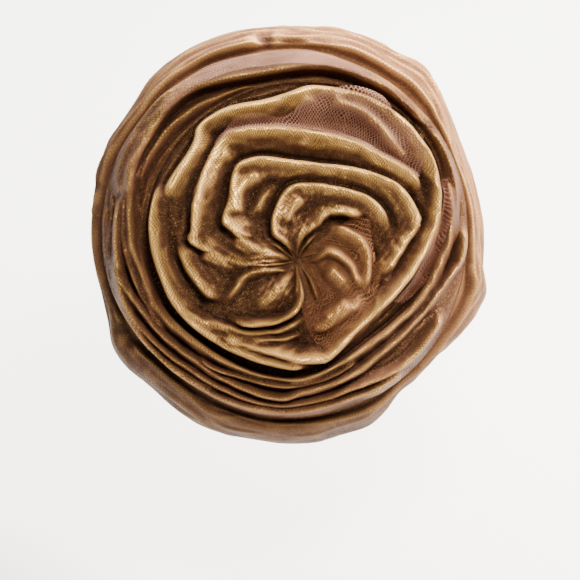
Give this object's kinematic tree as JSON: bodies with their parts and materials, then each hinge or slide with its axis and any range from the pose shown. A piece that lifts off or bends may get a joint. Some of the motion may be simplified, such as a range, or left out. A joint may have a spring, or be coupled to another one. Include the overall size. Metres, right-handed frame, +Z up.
{
  "type": "tulle turban",
  "caption": "Puffed head wrap of gold lame and brown tulle over a cap, with a pleated coil and a large twisted rosette at the back, worn form held up at the head opening.",
  "frame": {"origin": "middle of the cap's opening, where the head goes in", "axes": "+Z up on an upright head, +Y to the face side, -Y to the back of the head where the rosette is, +X to the right as seen from behind"},
  "size_m": [0.2807, 0.2648, 0.2583],
  "materials": {
    "cap_jersey": "matte brown jersey",
    "lame": "gold metallic lame under fine brown tulle",
    "tulle": "sheer brown tulle net"
  },
  "bodies": {
    "root": {"cap": "cap_jersey", "outer_wrap": "lame", "middle_coil": "lame", "rosette": "lame", "tulle_band": "tulle", "tulle_web": "tulle", "tulle_fan": "tulle", "tulle_ruffle": "tulle"}
  },
  "joints": []
}
